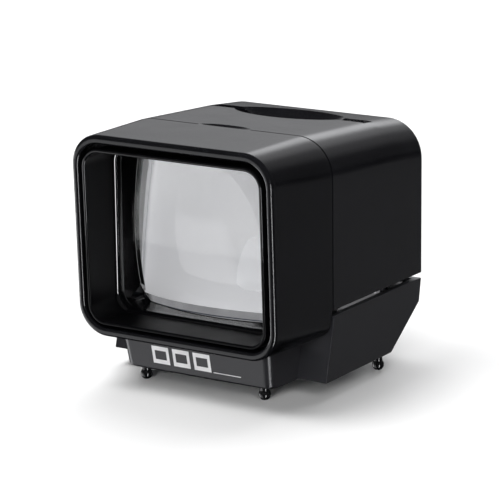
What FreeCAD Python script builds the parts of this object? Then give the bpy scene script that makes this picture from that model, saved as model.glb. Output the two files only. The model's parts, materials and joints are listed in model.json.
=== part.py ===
import FreeCAD, Part
import math
import os
import re
import Sketcher
from FreeCAD import Placement, Rotation, Vector

# Tabletop slide viewer: a lens hood and a rear cover stand on a battery base.
# Pressing the upper housing down closes the lamp contacts.
# Millimetres, +Z up, the viewing side towards -Y. The origin lies under the middle of the
# object's box, on the plane that the feet stand on. Depths are counted from the hood's front
# rim towards the rear, and depth() turns one into the frame's Y.

DIMENSIONS = {
    # hood, from the front rim to the seam
    "rim_half": 32.6, "rim_low": 14.9, "rim_high": 72.5, "rim_round": 9.0, "rim_bevel": 0.8,
    "rim_tilt": 2.0, "lip_half": 30.5, "lip_low": 17.35, "lip_high": 70.0, "lip_round": 6.8,
    "hood_end": 27.2, "seam_half": 35.0, "hood_end_low": 17.4, "seam_high": 72.35,
    "seam_round": 10.8, "hood_low_round": 3.5, "hood_inner_half": 32.8,
    "hood_inner_low": 18.5, "hood_inner_high": 70.15,
    # viewing tunnel behind the rim
    "tunnel_half": 28.3, "tunnel_low": 19.2, "tunnel_high": 67.5, "tunnel_wall": 1.0,
    "tunnel_round": 4.6, "tunnel_end": 13.6, "flange_front": 3.6, "flange_back": 5.2,
    "flange_half": 30.7, "flange_low": 17.8, "flange_high": 69.85, "bezel_round": 8.0,
    # bezel, barrel, lens and retainer
    "axis_height": 43.35, "bezel_front": 13.7, "bezel_back": 17.3, "bezel_half": 27.5,
    "bezel_rise": 23.3, "bezel_outer_half": 31.4, "bezel_outer_low": 18.15,
    "bezel_outer_high": 69.8, "barrel_front": 17.4, "barrel_back": 29.8, "barrel_half": 29.0,
    "barrel_low": 18.75, "barrel_high": 67.95, "barrel_wall": 0.85, "barrel_floor_end": 27.3,
    "barrel_floor_high": 24.5, "barrel_round": 2.0,
    "lens_half": 28.0, "lens_rise": 23.6, "lens_disc": 34.0, "lens_front_radius": 65.0,
    "lens_back_radius": 145.0, "lens_front": 15.84, "lens_thick": 14.4,
    "retainer_front": 28.6, "retainer_back": 29.6, "retainer_half": 26.4, "retainer_high": 66.0,
    # rear cover
    "cover_front": 27.6, "cover_low": 24.6, "rear_depth": 76.15, "rear_half": 35.3,
    "rear_high": 69.0, "break_half": 35.2, "cover_wall": 2.0, "slot_depth": 61.2,
    "slot_half": 26.25,
    "slot_width": 4.6, "slot_top": 70.45, "scoop_depth": 61.9, "scoop_half": 18.0,
    "scoop_reach": 10.0, "scoop_deep": 5.5, "scoop_wall": 1.3, "notch_half": 9.0,
    "notch_reach": 3.6, "notch_deep": 1.0,
    # base
    "base_half": 35.5, "base_high": 23.2, "base_low": 5.0, "base_wall": 2.0,
    "base_front_high": 27.3, "base_front_low": 22.7, "flat_end": 58.4, "slant_end": 74.4,
    "slant_high": 16.4, "base_rear": 75.6, "front_gap": 0.7, "front_dip": 16.4,
    "front_dip_half": 29.6, "tongue_high": 14.4, "tongue_low": 3.8, "tongue_front_high": 10.4,
    "tongue_front_low": 12.7, "tongue_half_high": 24.8, "tongue_half_low": 23.8,
    "tongue_root_half": 26.1, "tongue_round": 2.8, "tongue_bevel": 0.9,
    # feet: balls on short necks
    "foot_front_x": 19.8, "foot_front_depth": 16.0, "foot_rear_x": 32.0, "foot_rear_depth": 56.8,
    "foot_radius": 1.7, "foot_centre": 1.478, "foot_neck": 1.25, "foot_neck_front": 4.04,
    "foot_peg": 0.9, "foot_peg_high": 6.4,
    # battery bay
    "cell_radius": 7.2, "cell_length": 49.4, "cell_end": 24.6, "nub_radius": 2.7,
    "nub_length": 1.0, "cell_height": 13.95, "cell_front_depth": 34.5, "cell_rear_depth": 49.3,
    "door_half": 26.4, "door_front": 25.8, "door_thick": 1.6, "door_fit": 0.2, "door_rail": 1.0,
    "door_lip": 0.7, "door_end": 60.65, "grip_half": 9.0, "grip_width": 0.9, "grip_deep": 0.4,
    "grip_pitch": 2.0, "rib_inner": 27.7, "rib_outer": 28.3, "rib_front": 27.5,
    "rib_back": 56.6, "plate_thick": 0.3, "coil_wire": 0.3, "coil_mean": 3.6,
    "coil_turns": 2.5,
    # deck of the base, and the guides that the housing moves on
    "deck_low": 21.5, "deck_high": 22.3, "deck_front": 29.9, "deck_rear": 73.2, "deck_half": 33.4,
    "deck_lip_low": 20.2, "deck_lip_half": 27.2,
    "guide_x": 31.0, "guide_front_depth": 33.2, "guide_rear_depth": 62.0, "shank_radius": 1.2,
    "shank_play": 0.08, "shank_top": 30.4, "cup_radius": 2.6, "cup_bore": 2.1, "cup_low": 15.4,
    "cup_floor": 16.6, "head_radius": 2.0, "head_low": 13.9, "head_high": 15.38,
    "press_coil": 1.7, "press_wire": 0.2, "press_turn": 1.32,
    # chassis that carries the slide gate
    "chassis_low": 23.6, "chassis_high": 25.4, "chassis_front": 30.4, "chassis_rear": 73.1,
    "chassis_inner": 28.4, "chassis_outer": 32.8, "chassis_bar": 31.5, "tab_end": 41.2,
    "wing_end": 71.2, "cross_front": 72.7, "boss_radius": 1.9, "boss_top": 31.0,
    "channel_inner": 26.4, "channel_outer": 27.6, "channel_low": 17.4, "ledge_high": 18.4,
    "channel_front": 58.8, "channel_rear": 63.6, "rail_high": 66.6, "gate_front": 56.9,
    "gate_half": 31.4, "gate_low": 18.6, "gate_high": 62.9, "cheek_front": 55.2,
    "cheek_low": 25.6, "cheek_thick": 0.9, "window_half": 18.2,
    "window_low": 25.3, "window_high": 61.5,
    # light panel behind the slide
    "diffuser_front": 63.7, "diffuser_back": 65.3, "diffuser_half": 26.2, "box_front": 65.4,
    "box_back": 72.4, "box_half": 22.4, "box_low": 24.9, "box_high": 62.6, "box_wall": 1.0,
    "board_back": 73.4, "board_half": 27.8, "board_low": 26.0, "board_high": 62.0,
    "led_offset": 9.5, "led_half": 1.75, "led_deep": 0.8, "led_dome": 1.3,
    # lamp contacts and screws
    "pin_x": 25.5, "pin_half": 1.2, "pin_room": 0.6, "pin_thick": 0.3, "pin_low": 19.6,
    "pin_high": 30.0, "blade_high": 18.35, "blade_thick": 0.25, "blade_front": 66.3,
    "blade_back": 72.8,
    "blade_root": 69.0, "cover_screw_front": 38.6, "cover_screw_rear": 68.6,
    "cover_screw_radius": 1.1, "cover_screw_top": 31.0, "cover_head_radius": 1.75,
    "cover_boss_radius": 2.3, "cover_boss_top": 32.4, "deck_screw_x": 14.0,
    "deck_screw_depth": 69.5, "deck_screw_radius": 1.0, "deck_head_radius": 1.8,
    "deck_post_radius": 2.4, "deck_post_low": 14.7, "deck_screw_low": 16.0,
    "board_screw_x": 25.3, "board_screw_low": 36.0, "board_screw_high": 58.0,
    "board_screw_radius": 0.9, "board_head_radius": 1.6, "board_head_deep": 0.8,
    "board_screw_tip": 75.0,
}

doc = FreeCAD.newDocument("slide_viewer")
sheet = doc.addObject("Spreadsheet::Sheet", "Dims")
for row, (alias, value) in enumerate(DIMENSIONS.items(), start=1):
    sheet.set(f"A{row}", alias)
    sheet.set(f"B{row}", str(value))
    sheet.setAlias(f"B{row}", alias)
doc.recompute()

ALONG_X = Rotation(Vector(0, 1, 0), 90)
ALONG_Y = Rotation(Vector(1, 0, 0), -90)
SIDES = (("left", "-"), ("right", ""))
NODES = []


# ---- expressions -------------------------------------------------------------------------

def sheet_text(text):
    """Write an expression with every dimension's name pointing at the sheet."""
    def point(word):
        return "Dims." + word.group(0) if word.group(0) in DIMENSIONS else word.group(0)
    return re.sub(r"[a-z][a-z_0-9]*", point, str(text))


def bind(thing, property_name, text):
    thing.setExpression(property_name, sheet_text(text))


def number(text):
    """The value that an expression has now."""
    return float(sheet.evalExpression(sheet_text(text)))


def depth(text):
    """Turn a depth behind the front rim into the frame's Y."""
    return f"({text}) - rear_depth / 2"


def place(thing, x, d, z, turn=None):
    if turn:
        thing.Placement = Placement(Vector(), turn)
    for axis, text in (("x", x), ("y", depth(d)), ("z", z)):
        bind(thing, "Placement.Base." + axis, text)
    return thing


# ---- primitives and booleans -------------------------------------------------------------

def box(name, x0, x1, d0, d1, z0, z1):
    thing = doc.addObject("Part::Box", name)
    for side, low, high in (("Length", x0, x1), ("Width", d0, d1), ("Height", z0, z1)):
        bind(thing, side, f"({high}) - ({low})")
    return place(thing, x0, d0, z0)


def cylinder(name, x, d, z, radius, length, turn=None):
    """A cylinder from its base centre, along +Z unless turned."""
    thing = doc.addObject("Part::Cylinder", name)
    bind(thing, "Radius", radius)
    bind(thing, "Height", length)
    return place(thing, x, d, z, turn)


def cone(name, x, d, z, low_radius, high_radius, length):
    thing = doc.addObject("Part::Cone", name)
    bind(thing, "Radius1", low_radius)
    bind(thing, "Radius2", high_radius)
    bind(thing, "Height", length)
    return place(thing, x, d, z)


def ball(name, x, d, z, radius):
    thing = doc.addObject("Part::Sphere", name)
    bind(thing, "Radius", radius)
    return place(thing, x, d, z)


def fuse(name, things):
    joined = doc.addObject("Part::MultiFuse", name)
    joined.Shapes = things
    return joined


def common(name, things):
    shared = doc.addObject("Part::MultiCommon", name)
    shared.Shapes = things
    return shared


def cut(name, base, tools):
    """Take the tools away from the base."""
    result = doc.addObject("Part::Cut", name)
    result.Base = base
    result.Tool = tools[0] if len(tools) == 1 else fuse(name + "_tools", tools)
    return result


def group(name, things):
    """Identical pieces that share one node, each its own solid."""
    joined = doc.addObject("Part::Compound", name)
    joined.Links = things
    return joined


def keep(name, thing):
    """Make an object a node: its label names its file."""
    thing.Label = name
    NODES.append(thing)
    return thing


def coil(name, wire_radius, mean_radius, pitch, height):
    """A coil spring that starts at the origin and climbs along +Z."""
    spine = doc.addObject("Part::Helix", name + "_spine")
    bind(spine, "Radius", mean_radius)
    bind(spine, "Pitch", pitch)
    bind(spine, "Height", height)
    section = doc.addObject("Part::Circle", name + "_section")
    bind(section, "Radius", wire_radius)
    section.Placement = Placement(Vector(number(mean_radius), 0, 0), Rotation(Vector(1, 0, 0), 90))
    bind(section, "Placement.Base.x", mean_radius)
    doc.recompute()
    spring = doc.addObject("Part::Sweep", name + "_coil")
    spring.Sections = [section]
    spring.Spine = (spine, [f"Edge{i + 1}" for i in range(len(spine.Shape.Edges))])
    spring.Solid = True
    spring.Frenet = True
    return spring


# ---- sketched bodies ---------------------------------------------------------------------

def sketch_on(owner, name, plane, offset, rise="0", tilt="0"):
    """A sketch on one of the body's own planes, moved along its normal and tilted back."""
    sketch = owner.newObject("Sketcher::SketchObject", name)
    support = [f for f in owner.Origin.OriginFeatures if f.Role == plane][0]
    sketch.AttachmentSupport = [(support, "")]
    sketch.MapMode = "FlatFace"
    sketch.AttachmentOffset = Placement(Vector(), Rotation(Vector(1, 0, 0), number(tilt)))
    bind(sketch, "AttachmentOffset.Base.y", rise)
    bind(sketch, "AttachmentOffset.Base.z", offset)
    doc.recompute()
    return sketch


def hold(sketch, kind, *target):
    """Add a constraint whose last value is an expression."""
    *where, text = target
    index = sketch.addConstraint(Sketcher.Constraint(kind, *where, number(text)))
    sketch.setExpression(f"Constraints[{index}]", sheet_text(text))


def draw_outline(sketch, corners):
    """A closed outline of straight lines. A corner may carry a radius as its third value."""
    corners = [(corner + (None,))[:3] for corner in corners]
    spots = [Vector(number(across), number(up), 0) for across, up, turn in corners]
    radii = [number(turn) if turn else 0.0 for across, up, turn in corners]
    count = len(corners)
    ways = [(spots[(i + 1) % count] - spots[i]).normalize() for i in range(count)]
    cuts = [radii[i] * math.tan(ways[i - 1].getAngle(ways[i]) / 2) for i in range(count)]
    for i in range(count):
        following = (i + 1) % count
        start = spots[i] + ways[i] * cuts[i]
        end = spots[following] - ways[i] * cuts[following]
        sketch.addGeometry(Part.LineSegment(start, end), False)
    for i, (across, up, turn) in enumerate(corners):
        before = (i - 1) % count
        if not turn:
            sketch.addConstraint(Sketcher.Constraint("Coincident", before, 2, i, 1))
            hold(sketch, "DistanceX", -1, 1, i, 1, across)
            hold(sketch, "DistanceY", -1, 1, i, 1, up)
            continue
        inward = (ways[i] - ways[before]).normalize()
        centre = spots[i] + inward * math.hypot(cuts[i], radii[i])
        start, end = spots[i] - ways[before] * cuts[i], spots[i] + ways[i] * cuts[i]
        arc = sketch.addGeometry(Part.Arc(start, centre - inward * radii[i], end), False)
        first, last = (1, 2) if sketch.getPoint(arc, 1).isEqual(start, 1e-6) else (2, 1)
        sketch.addConstraint(Sketcher.Constraint("Tangent", before, 2, arc, first))
        sketch.addConstraint(Sketcher.Constraint("Tangent", arc, last, i, 1))
        hold(sketch, "Radius", arc, turn)
        sharp = sketch.addGeometry(Part.Point(spots[i]), True)
        sketch.addConstraint(Sketcher.Constraint("PointOnObject", sharp, 1, before))
        sketch.addConstraint(Sketcher.Constraint("PointOnObject", sharp, 1, i))
        hold(sketch, "DistanceX", -1, 1, sharp, 1, across)
        hold(sketch, "DistanceY", -1, 1, sharp, 1, up)


def draw_rounded(sketch, half, low, high, low_round, high_round):
    """A rectangle about x = 0 with round corners. A low_round of None leaves sharp ones."""
    draw_outline(sketch, [(f"-({half})", low, low_round), (half, low, low_round),
                          (half, high, high_round), (f"-({half})", high, high_round)])


def pad(owner, sketch, length):
    feature = owner.newObject("PartDesign::Pad", sketch.Name + "_pad")
    feature.Profile = sketch
    bind(feature, "Length", length)
    doc.recompute()
    return feature


def plate(name, front, back, half, low, high, low_round, high_round):
    """A rounded plate between two depths."""
    owner = doc.addObject("PartDesign::Body", name)
    sketch = sketch_on(owner, name + "_outline", "XZ_Plane", f"-({depth(back)})")
    draw_rounded(sketch, half, low, high, low_round, high_round)
    pad(owner, sketch, f"({back}) - ({front})")
    return owner


def slab(name, half, corners):
    """A side outline of depths and heights, as wide as half to each side."""
    owner = doc.addObject("PartDesign::Body", name)
    sketch = sketch_on(owner, name + "_outline", "YZ_Plane", f"-({half})")
    draw_outline(sketch, [(depth(d), z) for d, z in corners])
    pad(owner, sketch, f"2 * ({half})")
    return owner


def loft(name, sections):
    """A straight-sided loft through rounded sections: depth, tilt, half, low, high, rounds."""
    owner = doc.addObject("PartDesign::Body", name)
    sketches = []
    for index, (d, tilt, *outline) in enumerate(sections):
        offset = f"-({depth(d)}) - rim_high * sin({tilt} * 1 deg)"
        sketch = sketch_on(owner, f"{name}_section{index}", "XZ_Plane", offset, tilt=tilt)
        draw_rounded(sketch, *outline)
        sketches.append(sketch)
    feature = owner.newObject("PartDesign::AdditiveLoft", name + "_loft")
    feature.Profile = sketches[0]
    feature.Sections = sketches[1:]
    feature.Ruled = True
    doc.recompute()
    return owner


def spindle(name, d, top, half, reach, deep):
    """A round dish under the height top: lens-shaped from above, deepest in its middle."""
    lift = f"(({reach}) ^ 2 / ({deep}) - ({deep})) / 2"
    owner = doc.addObject("PartDesign::Body", name)
    sketch = sketch_on(owner, name + "_outline", "XZ_Plane", f"-({depth(d)})", f"({top}) + {lift}")
    w, a, r = number(half), number(lift), number(lift) + number(deep)
    sketch.addGeometry(Part.LineSegment(Vector(w, -a, 0), Vector(w, 0, 0)), False)
    sketch.addGeometry(Part.LineSegment(Vector(w, 0, 0), Vector(-w, 0, 0)), False)
    sketch.addGeometry(Part.LineSegment(Vector(-w, 0, 0), Vector(-w, -a, 0)), False)
    sketch.addGeometry(Part.Arc(Vector(-w, -a, 0), Vector(0, -r, 0), Vector(w, -a, 0)), False)
    for line, across, up in ((0, half, f"-({lift})"), (1, half, "0"), (2, f"-({half})", "0")):
        hold(sketch, "DistanceX", -1, 1, line, 1, across)
        hold(sketch, "DistanceY", -1, 1, line, 1, up)
    sketch.addConstraint(Sketcher.Constraint("Coincident", 0, 2, 1, 1))
    sketch.addConstraint(Sketcher.Constraint("Coincident", 1, 2, 2, 1))
    sketch.addConstraint(Sketcher.Constraint("Vertical", 2))
    sketch.addConstraint(Sketcher.Constraint("Coincident", 2, 2, 3, 1))
    sketch.addConstraint(Sketcher.Constraint("Coincident", 3, 2, 0, 1))
    hold(sketch, "DistanceY", -1, 1, 2, 2, f"-({lift})")
    hold(sketch, "Radius", 3, f"(({half}) ^ 2 / ({deep}) + ({deep})) / 2")
    turned = owner.newObject("PartDesign::Revolution", name + "_turned")
    turned.Profile = sketch
    turned.ReferenceAxis = (sketch, ["H_Axis"])
    turned.Angle = 360
    doc.recompute()
    return owner


# ---- hood: shell, viewing tunnel, bezel, barrel, lens, retainer ----------------------------

def lean(z, gap="0"):
    """Depth of the base's leaning front face at a height."""
    slope = "(base_front_high - base_front_low) / (base_high - base_low)"
    return f"base_front_high - (base_high - ({z})) * {slope} - ({gap})"


def front_hood():
    bevelled = ("rim_half - rim_bevel", "rim_low + rim_bevel", "rim_high - rim_bevel",
                "rim_round - rim_bevel", "rim_round - rim_bevel")
    blank = loft("hood_blank", [
        ("0", "rim_tilt", *bevelled),
        ("rim_bevel", "rim_tilt", "rim_half", "rim_low", "rim_high", "rim_round", "rim_round"),
        ("hood_end", "0", "seam_half", "hood_end_low", "seam_high", "hood_low_round",
         "seam_round")])
    hollow = loft("hood_hollow", [
        ("-0.2", "rim_tilt", "lip_half", "lip_low", "lip_high", "lip_round", "lip_round"),
        ("hood_end + 0.1", "0", "hood_inner_half", "hood_inner_low", "hood_inner_high",
         "hood_low_round - 1", "seam_round - 2.2")])
    clear = slab("hood_clearance", "base_half + 1", [
        (lean("25.4", "front_gap"), "25.4"), ("hood_end + 9", "25.4"), ("hood_end + 9", "9"),
        (lean("9", "front_gap"), "9")])
    keep("front_hood", cut("front_hood", blank, [hollow, clear]))


def viewing_tunnel():
    walls = [("tunnel_half", "tunnel_low", "tunnel_high", "tunnel_round"),
             ("tunnel_half + tunnel_wall", "tunnel_low - tunnel_wall", "tunnel_high + tunnel_wall",
              "tunnel_round + tunnel_wall")]
    solids = []
    for name, start, (half, low, high, turn) in (("tunnel_hollow", "-0.2", walls[0]),
                                                 ("tunnel_blank", "0.1", walls[1])):
        outline, end = (half, low, high, turn, turn), f"tunnel_end + 0.1 - ({start})"
        solids.append(loft(name, [(start, "rim_tilt", *outline), (end, "0", *outline)]))
    flange = plate("tunnel_flange", "flange_front + 2", "flange_back + 2", "flange_half",
                   "flange_low", "flange_high", "bezel_round", "bezel_round")
    keep("viewing_tunnel", cut("viewing_tunnel", fuse("tunnel_outer", [solids[1], flange]),
                               [solids[0]]))


def lens_bezel():
    blank = plate("bezel_blank", "bezel_front", "bezel_back", "bezel_outer_half",
                  "bezel_outer_low", "bezel_outer_high", "hood_low_round + 1.5", "bezel_round")
    opening = plate("bezel_opening", "bezel_front - 1", "bezel_back + 1", "bezel_half",
                    "axis_height - bezel_rise", "axis_height + bezel_rise", "tunnel_round",
                    "tunnel_round")
    keep("lens_bezel", cut("lens_bezel", blank, [opening]))


def magnifier_lens():
    block = box("lens_block", "-lens_half", "lens_half", "lens_front - 1",
                "lens_front + lens_thick + 1", "axis_height - lens_rise", "axis_height + lens_rise")
    disc = cylinder("lens_round", "0", "lens_front - 1", "axis_height", "lens_disc",
                    "lens_thick + 2", ALONG_Y)
    front = ball("lens_front_face", "0", "lens_front + lens_front_radius", "axis_height",
                 "lens_front_radius")
    back = ball("lens_back_face", "0", "lens_front + lens_thick - lens_back_radius",
                "axis_height", "lens_back_radius")
    keep("magnifier_lens", common("magnifier_lens", [block, disc, front, back]))


def lens_barrel():
    blank = plate("barrel_blank", "barrel_front", "barrel_back", "barrel_half", "barrel_low",
                  "barrel_high", "barrel_round", "barrel_round")
    hollow = plate("barrel_hollow", "barrel_front - 1", "barrel_back + 1",
                   "barrel_half - barrel_wall", "barrel_low + barrel_wall",
                   "barrel_high - barrel_wall", "barrel_round - barrel_wall",
                   "barrel_round - barrel_wall")
    relief = box("barrel_relief", "-barrel_half - 1", "barrel_half + 1", "barrel_floor_end",
                 "barrel_back + 1", "barrel_low - 1", "barrel_floor_high")
    keep("lens_barrel", cut("lens_barrel", blank, [hollow, relief]))


def lens_retainer():
    blank = plate("retainer_blank", "retainer_front", "retainer_back", "lens_half",
                  "barrel_floor_high", "axis_height + lens_rise", None, "barrel_round")
    opening = box("retainer_opening", "-retainer_half", "retainer_half", "retainer_front - 1",
                  "retainer_back + 1", "20", "retainer_high")
    keep("lens_retainer", cut("lens_retainer", blank, [opening]))


# ---- rear cover ----------------------------------------------------------------------------

def rear_cover():
    blank = loft("cover_blank", [
        ("cover_front", "0", "seam_half", "cover_low", "seam_high", None, "seam_round"),
        ("slot_depth", "0", "break_half", "cover_low", "slot_top", None, "seam_round"),
        ("rear_depth", "0", "rear_half", "cover_low", "rear_high", None, "seam_round")])
    hollow = loft("cover_hollow", [
        ("cover_front - 0.1", "0", "seam_half - cover_wall", "cover_low - 1",
         "seam_high - cover_wall", None, "seam_round - cover_wall"),
        ("slot_depth", "0", "break_half - cover_wall", "cover_low - 1", "slot_top - cover_wall",
         None, "seam_round - cover_wall"),
        ("rear_depth - cover_wall", "0", "rear_half - cover_wall", "cover_low - 1",
         "rear_high - cover_wall", None, "seam_round - cover_wall")])
    shell = cut("cover_shell", blank, [hollow])
    dish = spindle("scoop_dish", "scoop_depth", "slot_top", "scoop_half + scoop_wall",
                   "scoop_reach + scoop_wall", "scoop_deep + scoop_wall")
    bosses = [cylinder("cover_boss_" + name, x, d, "chassis_high", "cover_boss_radius",
                       "cover_boss_top - chassis_high") for name, x, d in COVER_SCREWS]
    holes = [cylinder("cover_boss_hole_" + name, x, d, "chassis_high - 1", "cover_screw_radius",
                      "cover_screw_top - chassis_high + 1.2") for name, x, d in COVER_SCREWS]
    pillars = [cylinder(f"board_pillar_{side}_{level}", sign + "board_screw_x", "board_back",
                        "board_screw_" + level, "board_head_radius",
                        "rear_depth - cover_wall / 2 - board_back", ALONG_Y)
               for side, sign in SIDES for level in ("low", "high")]
    pilots = [cylinder(f"board_pilot_{side}_{level}", sign + "board_screw_x", "board_back - 1",
                       "board_screw_" + level, "board_screw_radius",
                       "board_screw_tip - board_back + 1.1", ALONG_Y)
              for side, sign in SIDES for level in ("low", "high")]
    scoop = spindle("scoop_hollow", "scoop_depth", "slot_top", "scoop_half", "scoop_reach",
                    "scoop_deep")
    notch = spindle("thumb_notch", "cover_front", "seam_high", "notch_half", "notch_reach",
                    "notch_deep")
    slot = box("slide_slot", "-slot_half", "slot_half", "slot_depth - slot_width / 2",
               "slot_depth + slot_width / 2", "slot_top - 9", "slot_top + 4")
    solid = fuse("cover_solid", [shell, common("scoop_shell", [blank, dish])] + bosses + pillars)
    keep("rear_cover", cut("rear_cover", solid, [scoop, notch, slot] + holes + pilots))


# ---- chassis, slide gate and light panel ----------------------------------------------------

GUIDES = [(side + end, sign + "guide_x", d) for side, sign in SIDES
          for end, d in (("_front", "guide_front_depth"), ("_rear", "guide_rear_depth"))]
COVER_SCREWS = [(side + end, sign + "guide_x", d) for side, sign in SIDES
                for end, d in (("_front", "cover_screw_front"), ("_rear", "cover_screw_rear"))]


def mirrored(name, x0, x1, *rest):
    """The same box on the left and on the right."""
    return [box(name + "_right", x0, x1, *rest), box(name + "_left", f"-({x1})", f"-({x0})", *rest)]


def chassis():
    solids = [box("chassis_cross", "-chassis_outer", "chassis_outer", "cross_front",
                  "chassis_rear", "chassis_low", "chassis_high")]
    for part, inner, start, end in (("bar", "chassis_bar", "chassis_front", "chassis_rear"),
                                    ("tab", "chassis_inner", "chassis_front", "tab_end"),
                                    ("wing", "chassis_inner", "channel_front", "wing_end")):
        solids += mirrored("chassis_" + part, inner, "chassis_outer", start, end, "chassis_low",
                           "chassis_high")
    solids += mirrored("chassis_link", "channel_outer - 0.5", "chassis_inner + 0.5",
                       "channel_front", "channel_rear", "chassis_low", "chassis_high")
    solids += mirrored("chassis_rail", "channel_inner", "channel_outer", "channel_front",
                       "channel_rear", "channel_low", "rail_high")
    solids.append(box("chassis_ledge", "-channel_outer", "channel_outer", "channel_front",
                      "channel_rear", "channel_low", "ledge_high"))
    solids += [cylinder("chassis_boss_" + name, x, d, "chassis_high - 0.5", "boss_radius",
                        "boss_top - chassis_high + 0.5") for name, x, d in GUIDES]
    holes = [cylinder("chassis_guide_hole_" + name, x, d, "chassis_low - 1", "shank_radius",
                      "shank_top - chassis_low + 1.2") for name, x, d in GUIDES]
    holes += [cylinder("chassis_hole_" + name, x, d, "chassis_low - 1", "cover_screw_radius + 0.1",
                       "4") for name, x, d in COVER_SCREWS]
    holes += [cone("chassis_sink_" + name, x, d, "chassis_low", "cover_head_radius",
                   "cover_screw_radius", "0.9") for name, x, d in COVER_SCREWS]
    keep("chassis", cut("chassis", fuse("chassis_solid", solids), holes))


def slide_gate():
    face = box("gate_face", "-gate_half", "gate_half", "gate_front", "channel_front", "gate_low",
               "gate_high")
    cheeks = mirrored("gate_cheek", "gate_half", "gate_half + cheek_thick", "cheek_front",
                      "gate_front + 0.9", "cheek_low", "gate_high")
    window = plate("gate_window", "gate_front - 1", "channel_front + 1", "window_half",
                   "window_low", "window_high", "1.5", "1.5")
    keep("slide_gate", cut("slide_gate", fuse("gate_solid", [face] + cheeks), [window]))


def light_panel():
    keep("diffuser", box("diffuser", "-diffuser_half", "diffuser_half", "diffuser_front",
                         "diffuser_back", "gate_low", "gate_high"))
    outer = box("light_box_outer", "-box_half", "box_half", "box_front", "box_back", "box_low",
                "box_high")
    inner = box("light_box_inner", "-box_half + box_wall", "box_half - box_wall", "box_front - 1",
                "box_back + 1", "box_low + box_wall", "box_high - box_wall")
    keep("light_box", cut("light_box", outer, [inner]))
    board = box("board_blank", "-board_half", "board_half", "box_back", "board_back", "board_low",
                "board_high")
    spots = [(side + "_" + level, sign + "board_screw_x", "board_screw_" + level)
             for side, sign in SIDES for level in ("low", "high")]
    holes = [cylinder("board_hole_" + name, x, "box_back - 1", z, "board_screw_radius + 0.1", "3",
                      ALONG_Y) for name, x, z in spots]
    keep("lamp_board", cut("lamp_board", board, holes))
    screws = []
    for name, x, z in spots:
        head = cylinder("board_head_" + name, x, "box_back - board_head_deep", z,
                        "board_head_radius", "board_head_deep", ALONG_Y)
        shank = cylinder("board_shank_" + name, x, "box_back - 0.3", z, "board_screw_radius",
                         "board_screw_tip - box_back + 0.3", ALONG_Y)
        screws.append(fuse("board_screw_" + name, [head, shank]))
    keep("board_screws", group("board_screws", screws))


def leds():
    number_of = 0
    for column in ("-", ""):
        for level in ("-", "+"):
            number_of += 1
            name = f"led_{number_of}"
            x, z = column + "led_offset", f"axis_height {level} led_offset"
            case = box(name + "_case", f"{x} - led_half", f"{x} + led_half",
                       "box_back - led_deep", "box_back", f"{z} - led_half", f"{z} + led_half")
            dome = ball(name + "_dome", x, "box_back - led_deep", z, "led_dome")
            trim = box(name + "_trim", f"{x} - 2", f"{x} + 2", "box_back - led_deep - 2",
                       "box_back - led_deep / 2", f"{z} - 2", f"{z} + 2")
            keep(name, fuse(name, [case, common(name + "_cap", [dome, trim])]))


def lamp_contacts():
    for side, sign in SIDES:
        keep("contact_pin_" + side, box("contact_pin_" + side, f"{sign}pin_x - pin_half",
                                        f"{sign}pin_x + pin_half", "box_back - pin_thick",
                                        "box_back", "pin_low", "pin_high"))
        name = "contact_blade_" + side
        span = (f"{sign}pin_x - pin_half", f"{sign}pin_x + pin_half")
        root = box(name + "_root", *span, "blade_front", "blade_root", "deck_low - blade_thick",
                   "deck_low")
        drop = box(name + "_drop", *span, "blade_front", "blade_front + blade_thick",
                   "blade_high - blade_thick", "deck_low")
        tongue = box(name + "_tongue", *span, "blade_front", "blade_back",
                     "blade_high - blade_thick", "blade_high")
        keep(name, fuse(name, [root, drop, tongue]))


# ---- base ------------------------------------------------------------------------------------

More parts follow.
